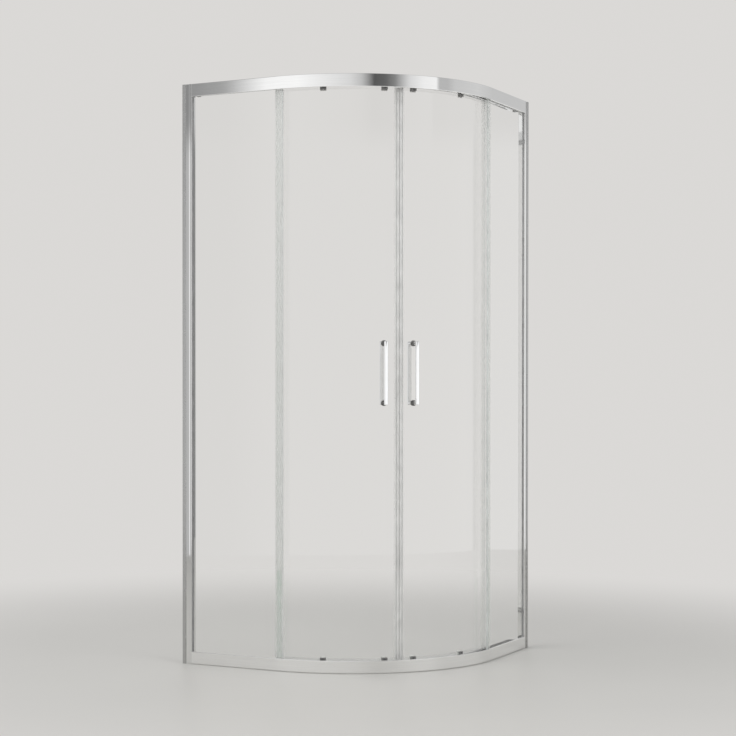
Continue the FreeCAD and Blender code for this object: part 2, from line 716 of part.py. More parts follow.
def door_point(point, lead):
    """Where a point of the left door lies after the lead carriage has run."""
    pin = at(PIN_R, FRONT_ANGLE, 0)
    turn = FreeCAD.Placement(V(0, 0, 0), FreeCAD.Rotation(AXIS_Z, -lead), CENTRE)
    steer = FreeCAD.Placement(V(0, 0, 0), FreeCAD.Rotation(AXIS_Z, lead * STEER), pin)
    return turn.multVec(steer.multVec(point))


def make_stop():
    """Rubber block in the top rail that the rear wheel meets when open."""
    rear = door_point(at(RADIUS - WHEEL_D, REAR_ANGLE, 0), TRAVEL_ANGLE)
    face_x = rear.x - WHEEL_R - 1.5
    return wall_box(face_x - 14, face_x, SHELF_D + 1, RAIL_D - SKIN - LOOSE, SHELF_Z, HEIGHT - SKIN)


# ---- build ------------------------------------------------------------------
nodes = {}


def both(name, shape):
    nodes[name + "_left"] = shape
    nodes[name + "_right"] = mirrored(shape)


def as_one(shapes):
    return shapes[0] if len(shapes) == 1 else Part.makeCompound(shapes)


top_rail, bottom_rail = make_rails()
nodes["top_rail"] = top_rail
nodes["bottom_rail"] = bottom_rail
both("wall_channel", make_wall_channel())
both("side_profile", make_side_profile())
both("fixed_glass", make_fixed_glass())
both("glazing_gasket", make_glazing_gasket())
both("edge_seal", make_edge_seal())
block_top, block_low = make_end_blocks()
both("rail_block_top", block_top)
both("rail_block_bottom", block_low)

frame_screws = []
for tip, way in post_screw_spots() + rail_screw_spots():
    frame_screws.append(countersunk(tip, way, SCREW_L))
nodes["frame_screws"] = as_one(frame_screws + [mirrored(s) for s in frame_screws])
adjusting = make_adjusting_screws()
nodes["adjusting_screws"] = as_one(adjusting + [mirrored(s) for s in adjusting])
stop = make_stop()
nodes["door_stops"] = as_one([stop, mirrored(stop)])

both("door_glass", make_door_glass())
both("magnet_profile", make_magnet_profile())
both("magnet_strip", make_magnet_strip())
both("rear_seal", make_rear_seal())
both("drip_seal", make_drip_seal())
both("handle_outer", make_handle(1))
both("handle_inner", make_handle(-1))
both("handle_studs", as_one(make_handle_studs()))
both("handle_washers", as_one(make_handle_washers()))

clamp_spots = []
for angle in (FRONT_ANGLE, REAR_ANGLE):
    clamp_spots.append((angle, TOP_SCREW_Z))
    clamp_spots.append((angle, BOTTOM_SCREW_Z))
both("clamp_caps", as_one([make_cap(a, z) for a, z in clamp_spots]))
both("clamp_screws", as_one([make_clamp_screw(a, z) for a, z in clamp_spots]))
both("hanger_bolts", as_one([make_hanger_bolt(a) for a in (FRONT_ANGLE, REAR_ANGLE)]))
for label, angle in (("front", FRONT_ANGLE), ("rear", REAR_ANGLE)):
    both("hanger_" + label, make_hanger(angle))
    both("carriage_" + label, make_carriage(angle))
    both("wheel_" + label, make_wheel(angle))
    both("guide_" + label, make_guide(angle))

for name in sorted(nodes):
    shape = nodes[name]
    good = shape.isValid() and shape.Volume > 0
    print(name, len(shape.Solids), round(shape.Volume / 1000, 2), "cm3", "ok" if good else "CHECK")
    shape.exportStep("parts/" + name + ".step")
whole = Part.makeCompound(list(nodes.values())).BoundBox
print("nodes", len(nodes))
print("size", round(whole.XLength, 2), round(whole.YLength, 2), round(whole.ZLength, 2))
print("low corner", round(whole.XMin, 2), round(whole.YMin, 2), round(whole.ZMin, 2))
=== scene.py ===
# %% [markdown]
# # A quadrant shower enclosure
# This lesson dresses the CAD model of a corner shower enclosure: two chrome rails bent
# straight-curve-straight, two posts on the walls, two flat fixed panes and two curved sliding doors.
# The CAD parts are the fixed frame. Straight drawn parts keep their CAD mesh and get a better
# material. Parts that bend, such as rails and curved glass, are made again here with enough steps
# that reflections run over them without a kink. The handles are turned again, and small parts get
# rounded edges.

# %% Load the CAD frame
import json
import math

import bmesh
import bpy
from mathutils import Matrix, Vector

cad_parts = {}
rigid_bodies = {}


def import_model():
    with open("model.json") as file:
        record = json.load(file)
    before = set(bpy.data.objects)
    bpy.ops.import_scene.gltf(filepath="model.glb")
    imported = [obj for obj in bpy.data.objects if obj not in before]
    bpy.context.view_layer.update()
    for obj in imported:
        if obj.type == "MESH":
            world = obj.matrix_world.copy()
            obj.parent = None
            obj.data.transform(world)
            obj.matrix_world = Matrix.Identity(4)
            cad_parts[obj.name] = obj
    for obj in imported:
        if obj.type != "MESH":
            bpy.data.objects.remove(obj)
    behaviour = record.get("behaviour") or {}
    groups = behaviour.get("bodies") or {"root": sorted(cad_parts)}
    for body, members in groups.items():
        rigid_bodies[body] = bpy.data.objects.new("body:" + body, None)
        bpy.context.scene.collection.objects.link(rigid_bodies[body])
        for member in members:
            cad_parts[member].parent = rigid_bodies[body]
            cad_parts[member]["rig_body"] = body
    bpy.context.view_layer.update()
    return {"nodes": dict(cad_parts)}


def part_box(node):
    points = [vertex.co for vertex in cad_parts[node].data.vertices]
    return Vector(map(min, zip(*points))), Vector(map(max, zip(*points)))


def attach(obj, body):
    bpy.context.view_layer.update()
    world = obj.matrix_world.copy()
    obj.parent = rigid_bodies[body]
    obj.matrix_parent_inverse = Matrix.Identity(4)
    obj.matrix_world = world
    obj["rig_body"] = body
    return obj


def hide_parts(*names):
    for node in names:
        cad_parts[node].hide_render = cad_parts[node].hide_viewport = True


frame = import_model()
NODES = frame["nodes"]

# %% [markdown]
# ## Sizes
# A maker works from one list of sizes. All lengths are metres and all angles degrees. The plan is a
# square of 0.9 m whose front corner is a quarter circle. "Depth" means the distance inward from the
# rails' outer face.

# %% Sizes that the pieces share
HALF = 0.450
RADIUS = 0.550
HEIGHT = 1.950
CENTRE = Vector((-0.100, 0.100, 0.0))
DIAGONAL = -45.0
RAIL_H, RAIL_D, SKIN = 0.042, 0.062, 0.002
NOSE_END = 0.035
CURVE_STEPS, PANE_STEPS = 144, 96
DOOR_R, GLASS_T = 0.515, 0.006
DOOR_LOW, DOOR_TOP = 0.036, 1.913
CLAMP_ANGLES = (5.55, 27.95)
HANDLE_ANGLE, HANDLE_Z, POST_SPREAD = 5.74, 0.9785, 0.098
BAR_L, BAR_R, FOOT_R, BAR_REACH, FOOT_FACE = 0.209, 0.0065, 0.006, 0.0295, 0.0043
SIDES = {"left": 1, "right": -1}
print("plan", 2 * HALF, "radius", RADIUS, "height", HEIGHT)

# %% [markdown]
# Everything on the right is the left mirrored across the diagonal, so one pair of helpers places
# both sides: an angle is measured from the diagonal, and the side's sign turns it left or right.


# %% Places on the curve
def outward(angle, side=1):
    """Unit vectors outward and sideways at an angle from the diagonal."""
    p = math.radians(DIAGONAL - angle * side)
    return Vector((math.cos(p), math.sin(p), 0)), Vector((math.sin(p), -math.cos(p), 0))


def on_curve(r, angle, z, side=1):
    """A point at radius r about the centre of the curve."""
    return CENTRE + outward(angle, side)[0] * r + Vector((0, 0, z))


def across(points):
    """The same points on the other side of the diagonal."""
    return [Vector((-p[1], -p[0], p[2])) for p in points]


print("middle of the curve:", [round(v, 4) for v in on_curve(RADIUS, 0, 0)])

# %% [markdown]
# ## Camera
# The photograph is taken from a little left of the line where the doors meet, at chest height and
# almost level. A long lens keeps the uprights parallel, and a small shift frames the object as the
# photograph does.

# %% Camera
LENS_MM = 88.39
FRAME_SHIFT = (0.1196, 0.0533)
CAMERA_PLACE = (2.692, -5.680, 0.934)
DOWNWARD, LEFTWARD = 0.65, 27.91
NEAR, FAR = 0.1, 60
GLASS_FACES, CLEAR_FACES = 20, 32
camera_data = bpy.data.cameras.new("camera")
camera = bpy.data.objects.new("camera", camera_data)
bpy.context.scene.collection.objects.link(camera)
camera_data.lens = LENS_MM
camera_data.shift_x, camera_data.shift_y = FRAME_SHIFT
camera.location = CAMERA_PLACE
camera.rotation_euler = (math.radians(90 - DOWNWARD), 0, math.radians(LEFTWARD))
camera_data.clip_start, camera_data.clip_end = NEAR, FAR
bpy.context.scene.camera = camera
bpy.context.scene.view_settings.view_transform = "Standard"
# A straight look through both doors crosses twenty faces of glass and clear strip.
light_paths = bpy.context.scene.cycles
light_paths.max_bounces, light_paths.transmission_bounces = GLASS_FACES, GLASS_FACES
light_paths.transparent_max_bounces = CLEAR_FACES
print("camera at", [round(v, 3) for v in camera.location])

# %% [markdown]
# ## Helpers for nodes
# Every finish, the floor, the studio and every shape rule is a node tree. A few short helpers keep
# those trees readable: one adds a node and fills its inputs, and the others name the usual steps.


# %% Helpers for node trees
def add_node(tree, kind, settings=None, **inputs):
    """Add a node, set its properties, and fill or link its inputs by name or number."""
    node = tree.nodes.new(kind)
    for key, value in (settings or {}).items():
        setattr(node, key, value)
    for key, value in inputs.items():
        name = int(key[1:]) if key[0] == "i" and key[1:].isdigit() else key.replace("_", " ")
        socket = node.inputs[name]
        if isinstance(value, bpy.types.NodeSocket):
            tree.links.new(value, socket)
        else:
            socket.default_value = value
    return node


def reckon(tree, operation, first, second):
    """The result of a sum on two values."""
    return add_node(tree, "ShaderNodeMath", {"operation": operation}, i0=first, i1=second).outputs[0]


def ranged(tree, value, low, high, to_low=0.0, to_high=1.0, kind="LINEAR"):
    """A value moved from one range to another."""
    return add_node(tree, "ShaderNodeMapRange", {"interpolation_type": kind}, Value=value,
                    From_Min=low, From_Max=high, To_Min=to_low, To_Max=to_high).outputs[0]


def ramp(tree, source, stops):
    """A colour ramp: stops are (place, grey) or (place, (r, g, b))."""
    node = add_node(tree, "ShaderNodeValToRGB", None, Fac=source)
    marks = node.color_ramp.elements
    while len(marks) < len(stops):
        marks.new(0.5)
    for mark, (place, value) in zip(marks, stops):
        mark.position = place
        rgb = value if isinstance(value, tuple) else (value, value, value)
        mark.color = (*rgb, 1)
    return node.outputs["Color"]


def mixed(tree, share, first, second):
    """Two surfaces mixed by a share."""
    return add_node(tree, "ShaderNodeMixShader", None, i0=share, i1=first, i2=second).outputs[0]


def blended(tree, share, first, second, way="MIX"):
    """Two colours blended by a share."""
    return add_node(tree, "ShaderNodeMix", {"data_type": "RGBA", "blend_type": way},
                    i0=share, i6=first, i7=second).outputs[2]


print("helpers ready")

# %% [markdown]
# ## Room light
# The studio is plain. The world lights the object evenly, and two soft lamps give the edges some
# shape. Chrome has no colour of its own: it shows what stands round it. So the world, where only
# glossy rays see it, has tall pale and grey cards, as a photographer would set them up.

# %% World: even light, and cards for the chrome
WALL_PALE = (0.705, 0.692, 0.676, 1)
ROOF_GREY = (0.42, 0.42, 0.42, 1)
EVEN_WHITE, EVEN_LIGHT = (1.0, 1.0, 1.0, 1), 0.52
# A look that rises more than this meets the high cards, and then the roof.
HIGH_FROM, HIGH_FULL = 0.125, 0.147
ROOF_FROM, ROOF_FULL = 0.35, 0.7
FULL_TURN = 360.0
# Each card is (compass direction, grey).
HIGH_CARDS = [
    (-124, 0.26), (-119.9, 0.30), (-119.2, 0.44), (-118.95, 0.99), (-100, 1.0), (-62, 0.72),
    (-54, 0.55), (-45, 0.10), (-37, 0.13), (-30, 0.24), (-19, 0.72), (-8, 0.90), (3, 0.94),
    (5, 0.50), (13, 0.50), (20, 0.60), (45, 0.65), (69, 0.57), (120, 0.62), (180, 0.55)]
LOW_CARDS = [
    (-170, 0.92), (-150, 1.0), (-128, 1.0), (-126, 0.53), (-119.6, 0.53), (-118.8, 1.0), (-60, 1.02),
    (-25, 1.05), (-8, 1.12), (38, 1.12), (48, 1.0), (52, 0.26), (62, 0.26), (66, 0.86), (76, 0.84),
    (110, 0.66), (150, 0.60)]
world = bpy.data.worlds.new("studio")
bpy.context.scene.world = world
world.use_nodes = True
sky = world.node_tree
sky.nodes.clear()
seen = add_node(sky, "ShaderNodeTexCoord")
way = add_node(sky, "ShaderNodeSeparateXYZ", None, Vector=seen.outputs["Generated"])
compass = reckon(sky, "ARCTAN2", way.outputs["Y"], way.outputs["X"])
share = reckon(sky, "DIVIDE", compass, 2 * math.pi)
wrapped = add_node(sky, "ShaderNodeMath", {"operation": "FRACT"}, i0=share)


def card_ring(cards):
    """A ramp round the compass: cards are (direction, grey), and the ring closes at east."""
    marks = sorted(((direction % FULL_TURN) / FULL_TURN, grey) for direction, grey in cards)
    gap = marks[0][0] + 1 - marks[-1][0]
    east = marks[-1][1] + (marks[0][1] - marks[-1][1]) * (1 - marks[-1][0]) / gap
    return ramp(sky, wrapped.outputs[0], [(0.0, east)] + marks + [(1.0, east)])


rise = ranged(sky, way.outputs["Z"], HIGH_FROM, HIGH_FULL, kind="SMOOTHSTEP")
cards = blended(sky, rise, card_ring(LOW_CARDS), card_ring(HIGH_CARDS))
above = ranged(sky, way.outputs["Z"], ROOF_FROM, ROOF_FULL, kind="SMOOTHSTEP")
roofed = blended(sky, above, cards, ROOF_GREY)
rays = add_node(sky, "ShaderNodeLightPath")
plain = reckon(sky, "MAXIMUM", rays.outputs["Is Camera Ray"], rays.outputs["Is Transmission Ray"])
even = add_node(sky, "ShaderNodeBackground", None, Color=EVEN_WHITE, Strength=EVEN_LIGHT)
behind = add_node(sky, "ShaderNodeBackground", None, Color=WALL_PALE, Strength=1.0)
mirrored_room = add_node(sky, "ShaderNodeBackground", None, Color=roofed, Strength=1.0)
gloss = mixed(sky, rays.outputs["Is Glossy Ray"], even.outputs[0], mirrored_room.outputs[0])
shown = mixed(sky, plain, gloss, behind.outputs[0])
add_node(sky, "ShaderNodeOutputWorld", None, Surface=shown)
print("cards:", len(HIGH_CARDS), "high,", len(LOW_CARDS), "low")

# %% Soft lamps: place, target height, size and power
LAMPS = {
    "lamp_over": ((-0.6, -1.2, 4.6), 0.6, 3.2, 95),
    "lamp_right": ((4.2, -1.8, 2.6), 0.9, 2.4, 42),
}
for name, (place, target_z, size, watts) in LAMPS.items():
    lamp = bpy.data.lights.new(name, "AREA")
    lamp.shape, lamp.size, lamp.energy = "SQUARE", size, watts
    thing = bpy.data.objects.new(name, lamp)
    thing.location = place
    toward = Vector((0, 0, target_z)) - Vector(place)
    thing.rotation_euler = toward.to_track_quat("-Z", "Y").to_euler()
    bpy.context.scene.collection.objects.link(thing)
    thing.visible_glossy = False
    thing.visible_transmission = False
print("lamps:", len(LAMPS))

# %% [markdown]
# ## Finishes
# Each finish is a small node tree that reads the piece's own Object coordinates, so the grain stays
# on the piece when it moves. Polished metal is not one grey: drawing through a die leaves faint
# lines along it, and hands and water leave areas that are a little less sharp.


# %% Helpers for finishes
def new_finish(name):
    """An empty material, its tree and the piece's own coordinates."""
    finish = bpy.data.materials.new(name)
    finish.use_nodes = True
    tree = finish.node_tree
    tree.nodes.clear()
    return finish, tree, add_node(tree, "ShaderNodeTexCoord").outputs["Object"]


def noise(tree, place, scale, detail, rough=0.5):
    """Soft spots of a size and a fineness."""
    return add_node(tree, "ShaderNodeTexNoise", None, Vector=place, Scale=scale, Detail=detail,
                    Roughness=rough).outputs["Fac"]


def bumped(tree, height, strength, distance):
    """A surface that rises and falls with a value."""
    return add_node(tree, "ShaderNodeBump", None, Height=height, Strength=strength,
                    Distance=distance).outputs[0]


def shade(tint, factor):
    """A tint made lighter or darker, but never past white."""
    return tuple(min(1.0, c * factor) for c in tint)


def show(tree, surface):
    """Send a surface to the output."""
    return add_node(tree, "ShaderNodeOutputMaterial", None, Surface=surface)


print("finish helpers ready")

# %% Floor: a pale tile tone that fades into the studio wall
FLOOR_RADIUS, FADE_FROM, FADE_FULL = 4.5, 0.9, 3.0
FLOOR_DARK, FLOOR_LIGHT = (0.608, 0.598, 0.573), (0.624, 0.614, 0.588)
bpy.ops.mesh.primitive_circle_add(vertices=96, radius=FLOOR_RADIUS, fill_type="NGON")
floor = bpy.context.object
floor.name = "floor"
floor_finish, ground, spot = new_finish("pale_floor")
cloud = noise(ground, spot, scale=1.3, detail=3.0)
tone = ramp(ground, cloud, [(0.3, FLOOR_DARK), (0.7, FLOOR_LIGHT)])
far = add_node(ground, "ShaderNodeVectorMath", {"operation": "LENGTH"}, i0=spot)
fade = ranged(ground, far.outputs["Value"], FADE_FROM, FADE_FULL, kind="SMOOTHSTEP")
rays = add_node(ground, "ShaderNodeLightPath")
straight = reckon(ground, "MAXIMUM", rays.outputs["Is Camera Ray"], rays.outputs["Is Transmission Ray"])
faded = reckon(ground, "MULTIPLY", fade, straight)
tile = add_node(ground, "ShaderNodeBsdfPrincipled", None, Base_Color=tone, Roughness=0.42)
away = add_node(ground, "ShaderNodeEmission", None, Color=WALL_PALE, Strength=1.0)
show(ground, mixed(ground, faded, tile.outputs[0], away.outputs[0]))
floor.data.materials.append(floor_finish)
print("floor radius", FLOOR_RADIUS)


# %% Metals
def metal(name, tint, rough, grain, stretch=(1, 1, 1), depth=0.00002, smudge=0.03, spread=0.02):
    """A metal whose fine lines follow stretch and whose sheen varies a little."""
    finish, tree, place = new_finish(name)
    drawn = add_node(tree, "ShaderNodeMapping", None, Vector=place, Scale=stretch).outputs[0]
    lines = noise(tree, drawn, scale=grain, detail=4.0, rough=0.6)
    marks = noise(tree, place, scale=9.0, detail=5.0, rough=0.7)
    sheen = ranged(tree, marks, low=0.45, high=0.75, to_low=rough, to_high=rough + smudge)
    fine = add_node(tree, "ShaderNodeMath", {"operation": "MULTIPLY_ADD"}, i0=lines, i1=spread, i2=sheen)
    colour = ramp(tree, lines, [(0.35, shade(tint, 0.96)), (0.65, shade(tint, 1.02))])
    bump = bumped(tree, lines, strength=0.25, distance=depth)
    body = add_node(tree, "ShaderNodeBsdfPrincipled", None, Base_Color=colour, Metallic=1.0,
                    Roughness=fine.outputs[0], Normal=bump)
    show(tree, body.outputs[0])
    return finish


CHROME = metal("polished_rail", (0.93, 0.93, 0.925), rough=0.03, grain=260, stretch=(0.02, 0.02, 3.0),
               depth=0.000006, smudge=0.025, spread=0.015)
CHROME_BAR = metal("polished_bar", (0.95, 0.955, 0.96), rough=0.03, grain=300, stretch=(1, 1, 0.06),
                   depth=0.000008)
# Painted shade: the inner bars are the same chrome as the outer ones, made darker to stand for the shade
# they are seen in.
PAINTED_SHADE_BAR = metal("inner_bar_painted_shade", (0.84, 0.845, 0.85), rough=0.05, grain=300, stretch=(1, 1, 0.06),
                   depth=0.000008)
ANODISED = metal("satin_profile", (0.50, 0.50, 0.495), rough=0.22, grain=420, stretch=(2.0, 2.0, 0.01),
                 smudge=0.06, spread=0.06)
BRIGHT_PROFILE = metal("bright_profile", (0.83, 0.83, 0.825), rough=0.03, grain=420,
                       stretch=(2.0, 2.0, 0.01), depth=0.00001, smudge=0.02, spread=0.01)
STEEL = metal("turned_steel", (0.66, 0.65, 0.64), rough=0.24, grain=900, smudge=0.08, spread=0.10)
DARK_SCREW = metal("blackened_screw", (0.30, 0.30, 0.30), rough=0.36, grain=900, smudge=0.08,
                   spread=0.10)
print("materials so far:", len(bpy.data.materials))


# %% Glass
def clear(name, tint, haze, deep, density):
    """A clear solid. Rays from lamps and from pale surfaces pass straight through it."""
    finish, tree, place = new_finish(name)
    film = noise(tree, place, scale=6.0, detail=6.0, rough=0.65)
    hazy = ranged(tree, film, low=0.4, high=0.8, to_low=0.0, to_high=haze)
    wave = noise(tree, place, scale=2.2, detail=2.0)
    bump = bumped(tree, wave, strength=0.12, distance=0.0004)
    body = add_node(tree, "ShaderNodeBsdfPrincipled", None, Base_Color=(*tint, 1), Roughness=hazy,
                    IOR=1.5, Transmission_Weight=1.0, Normal=bump)
    rays = add_node(tree, "ShaderNodeLightPath")
    soft = reckon(tree, "MAXIMUM", rays.outputs["Is Shadow Ray"], rays.outputs["Is Diffuse Ray"])
    let = add_node(tree, "ShaderNodeBsdfTransparent", None, Color=(*(c ** 1.5 for c in tint), 1))
    out = show(tree, mixed(tree, soft, body.outputs[0], let.outputs[0]))
    inside = add_node(tree, "ShaderNodeVolumeAbsorption", None, Color=(*deep, 1), Density=density)
    tree.links.new(inside.outputs[0], out.inputs["Volume"])
    return finish


GLASS = clear("clear_glass", (0.990, 0.990, 0.988), haze=0.012, deep=(0.86, 0.95, 0.91), density=4.0)
print("materials so far:", len(bpy.data.materials))


# %% Clear strips
def milky(name, tint, thin, thick, rough):
    """A soft clear plastic: most light goes straight on, and the rest meets a pale, satin skin."""
    finish, tree, place = new_finish(name)
    drawn = add_node(tree, "ShaderNodeMapping", None, Vector=place, Scale=(1, 1, 0.02)).outputs[0]
    lines = noise(tree, drawn, scale=700, detail=3.0)
    cloud = noise(tree, place, scale=14, detail=4.0)
    milk = ranged(tree, cloud, low=0.3, high=0.7, to_low=thin, to_high=thick)
    skin = ranged(tree, lines, low=0.0, high=1.0, to_low=rough - 0.05, to_high=rough + 0.05)
    colour = ramp(tree, cloud, [(0.3, shade(tint, 0.96)), (0.7, tint)])
    bump = bumped(tree, lines, strength=0.3, distance=0.00003)
    body = add_node(tree, "ShaderNodeBsdfPrincipled", None, Base_Color=colour, Roughness=skin,
                    Alpha=milk, Normal=bump)
    show(tree, body.outputs[0])
    return finish


STRIP = milky("clear_strip", (0.96, 0.96, 0.95), thin=0.12, thick=0.17, rough=0.24)
print("materials so far:", len(bpy.data.materials))


# %% Rubber, nylon and moulded plastic
def moulded(name, tint, rough, grain, depth, sheen=0.5):
    """A moulded or extruded plastic: fine skin texture, slight tone changes."""
    finish, tree, place = new_finish(name)
    skin = noise(tree, place, scale=grain, detail=5.0, rough=0.6)
    patch = noise(tree, place, scale=25.0, detail=3.0)
    colour = ramp(tree, patch, [(0.3, shade(tint, 0.85)), (0.7, shade(tint, 1.12))])
    dull = ranged(tree, skin, low=0.0, high=1.0, to_low=rough - 0.08, to_high=rough + 0.08)
    bump = bumped(tree, skin, strength=0.5, distance=depth)
    body = add_node(tree, "ShaderNodeBsdfPrincipled", None, Base_Color=colour, Roughness=dull,
                    Normal=bump, Specular_IOR_Level=sheen)
    show(tree, body.outputs[0])
    return finish


GASKET = moulded("glazing_rubber", (0.44, 0.44, 0.442), rough=0.38, grain=1400, depth=0.00003)
DARK_PLASTIC = moulded("dark_moulding", (0.19, 0.187, 0.184), rough=0.40, grain=2200, depth=0.00003)
CAP_PLASTIC = moulded("grey_clamp_cap", (0.29, 0.288, 0.284), rough=0.42, grain=2200, depth=0.00003)
NYLON = moulded("running_nylon", (0.78, 0.78, 0.75), rough=0.36, grain=1800, depth=0.00002)
MAGNET = moulded("pale_magnet", (0.86, 0.86, 0.85), rough=0.50, grain=900, depth=0.00002, sheen=0.4)
GROUND_EDGE = moulded("ground_glass_edge", (0.84, 0.875, 0.86), rough=0.45, grain=2600, depth=0.00002)
print("materials so far:", len(bpy.data.materials))

# %% Painted light: inside the rails, below and above these heights, the glazing rubber is screened paler to lift the shade it lies in there
PAINTED_LIGHT_BELOW, PAINTED_LIGHT_ABOVE, PAINTED_LIGHT_PALE = 0.0425, 1.9075, (0.75, 0.75, 0.74, 1)
tree = GASKET.node_tree
body = next(n for n in tree.nodes if n.type == "BSDF_PRINCIPLED")
rubber = body.inputs["Base Color"].links[0].from_socket
place = add_node(tree, "ShaderNodeTexCoord").outputs["Object"]
height = add_node(tree, "ShaderNodeSeparateXYZ", None, Vector=place).outputs["Z"]
over = reckon(tree, "GREATER_THAN", height, PAINTED_LIGHT_BELOW)
under = reckon(tree, "LESS_THAN", height, PAINTED_LIGHT_ABOVE)
between = reckon(tree, "MULTIPLY", over, under)
# painted light: the rubber's colour is screened paler where it lies in the rails' shade
painted_light = blended(tree, 1.0, rubber, PAINTED_LIGHT_PALE, "SCREEN")
tree.links.new(blended(tree, between, painted_light, rubber), body.inputs["Base Color"])
print("nodes in the glazing rubber:", len(tree.nodes))

# %% [markdown]
# ## Tools for bent and repeated pieces
# A rail is one outline carried along a path, so Geometry Nodes suit it: the path and the outline stay
# separate, and a size can change without new modelling. Each rule below is a node tree with named
# inputs. Its result is baked to a plain mesh, which then rides on a CAD body.

# %% Start and bake a rule
CREASE = 32
HELPERS = []


def new_rule(name, sizes):
    """A Geometry Nodes tree with named inputs: sizes are (label, socket kind, value)."""
    tree = bpy.data.node_groups.new(name, "GeometryNodeTree")
    tree.interface.new_socket("Geometry", in_out="OUTPUT", socket_type="NodeSocketGeometry")
    for label, kind, value in sizes:
        socket = tree.interface.new_socket(label, in_out="INPUT", socket_type="NodeSocket" + kind)
        if value is not None:
            socket.default_value = value
    return tree, tree.nodes.new("NodeGroupInput").outputs


def end_rule(tree, geometry, finish):
    """Every rule ends in real, smooth-shaded faces with their finish."""
    real = add_node(tree, "GeometryNodeRealizeInstances", None, Geometry=geometry)
    smooth = add_node(tree, "GeometryNodeSetShadeSmooth", None, Geometry=real.outputs[0])
    done = add_node(tree, "GeometryNodeSetMaterial", None, Geometry=smooth.outputs[0], Material=finish)
    add_node(tree, "NodeGroupOutput", None, Geometry=done.outputs[0])


def new_object(name, data):
    """An object in the scene for a mesh or a curve."""
    thing = bpy.data.objects.new(name, data)
    bpy.context.scene.collection.objects.link(thing)
    return thing


def bake(name, tree, values):
    """Run a rule once with these values and keep its plain mesh."""
    thing = new_object(name, bpy.data.meshes.new(name))
    rule = thing.modifiers.new("rule", "NODES")
    rule.node_group = tree
    for item in tree.interface.items_tree:
        if item.in_out == "INPUT" and item.name in values:
            rule[item.identifier] = values[item.name]
    view = bpy.context.evaluated_depsgraph_get()
    view.update()
    mesh = bpy.data.meshes.new_from_object(thing.evaluated_get(view), depsgraph=view)
    thing.modifiers.clear()
    thing.data = mesh
    return thing


def seat(thing, body, node):
    """Sharpen the true edges, then let the piece stand for its CAD node and ride on its body."""
    thing.data.set_sharp_from_angle(angle=math.radians(CREASE))
    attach(thing, body)
    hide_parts(node)
    points = [v.co for v in thing.data.vertices]
    ends = [[least(p[i] for p in points) for i in range(3)] for least in (min, max)]
    off = max(abs(a - b) for old, new in zip(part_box(node), ends) for a, b in zip(old, new))
    print(thing.name, "faces", len(thing.data.polygons), "ends off the CAD by mm", round(off * 1000, 2))


print("rule tools ready, crease", CREASE)

# %% [markdown]
# An outline is a closed list of corners. Real extrusions have no perfectly sharp corner, so corners
# are rounded. A flat face next to a rounded corner needs an extra point close to the corner, or its
# mirror would look swollen.

# %% Outlines with rounded corners
ROUND, ROUND_STEPS, SUPPORT = 0.0002, 4, 0.0006
LONGEST_ROUND = 0.45
ALMOST_STRAIGHT = math.radians(88)
ROOM_FOR_SUPPORT = 4


def rounded(corners, radii):
    """Round each corner by its radius (or by ROUND), with a support point beside each round."""
    made = []
    count = len(corners)
    for i, corner in enumerate(corners):
        here = Vector(corner)
        to_last = Vector(corners[i - 1]) - here
        to_next = Vector(corners[(i + 1) % count]) - here
        r = radii.get(i, ROUND)
        half = to_last.angle(to_next) / 2
        if half > ALMOST_STRAIGHT:
            made.append(here)
            continue
        reach = min(r / math.tan(half), LONGEST_ROUND * to_last.length, LONGEST_ROUND * to_next.length)
        r = reach * math.tan(half)
        a, b = to_last.normalized(), to_next.normalized()
        middle = here + (a + b).normalized() * (r / math.sin(half))
        start, end = here + a * reach - middle, here + b * reach - middle
        if to_last.length > ROOM_FOR_SUPPORT * (reach + SUPPORT):
            made.append(here + a * (reach + SUPPORT))
        sweep = start.angle_signed(end)
        for k in range(ROUND_STEPS + 1):
            w = -sweep * k / ROUND_STEPS
            made.append(middle + Vector((start.x * math.cos(w) - start.y * math.sin(w),
                                         start.x * math.sin(w) + start.y * math.cos(w))))
        if to_next.length > ROOM_FOR_SUPPORT * (reach + SUPPORT):
            made.append(here + b * (reach + SUPPORT))
    return made


def helper_curve(name, dimensions, marks):
    """A curve that a rule can read: marks are (point, radius). It is removed when the rules are done."""
    curve = bpy.data.curves.new(name, "CURVE")
    curve.dimensions = dimensions
    line = curve.splines.new("POLY")
    line.points.add(len(marks) - 1)
    for spot, (point, radius) in zip(line.points, marks):
        spot.co = (*point, 1)
        spot.radius = radius
    HELPERS.append(new_object(name, curve))
    return HELPERS[-1]


def outline_object(name, corners, radii):
    """A closed section from (depth, height) corners: outward comes first, and height is turned down."""
    points = rounded([Vector(c) for c in corners], radii)
    thing = helper_curve(name, "2D", [((-d, -z, 0), 1.0) for d, z in points])
    thing.data.splines[0].use_cyclic_u = True
    return thing


print("outline tools ready, usual round", ROUND)


# %% Cutters for holes and slots
def cutter(name, parts):
    """One hidden mesh of rods and blocks that a rule cuts away. A rod is ("rod", start, direction,
    length, radius, end radius), and a block is ("block", centre, x axis, size)."""
    bm = bmesh.new()
    for part in parts:
        if part[0] == "rod":
            _, start, way, length, r0, r1 = part
            spin = Vector(way).to_track_quat("Z", "Y").to_matrix().to_4x4()
            place = Matrix.Translation(Vector(start) + Vector(way).normalized() * length / 2) @ spin
            bmesh.ops.create_cone(bm, cap_ends=True, segments=32, radius1=r0, radius2=r1,
                                  depth=length, matrix=place)
        else:
            _, centre, x_axis, size = part
            x = Vector(x_axis).normalized()
            z = Vector((0, 0, 1))
            spin = Matrix((x, z.cross(x), z)).transposed().to_4x4()
            scale = Matrix.Diagonal((*size, 1))
            bmesh.ops.create_cube(bm, size=1, matrix=Matrix.Translation(centre) @ spin @ scale)
    mesh = bpy.data.meshes.new(name)
    bm.to_mesh(mesh)
    bm.free()
    thing = new_object(name, mesh)
    thing.hide_render = True
    HELPERS.append(thing)
    return thing


print("cutter tool ready")

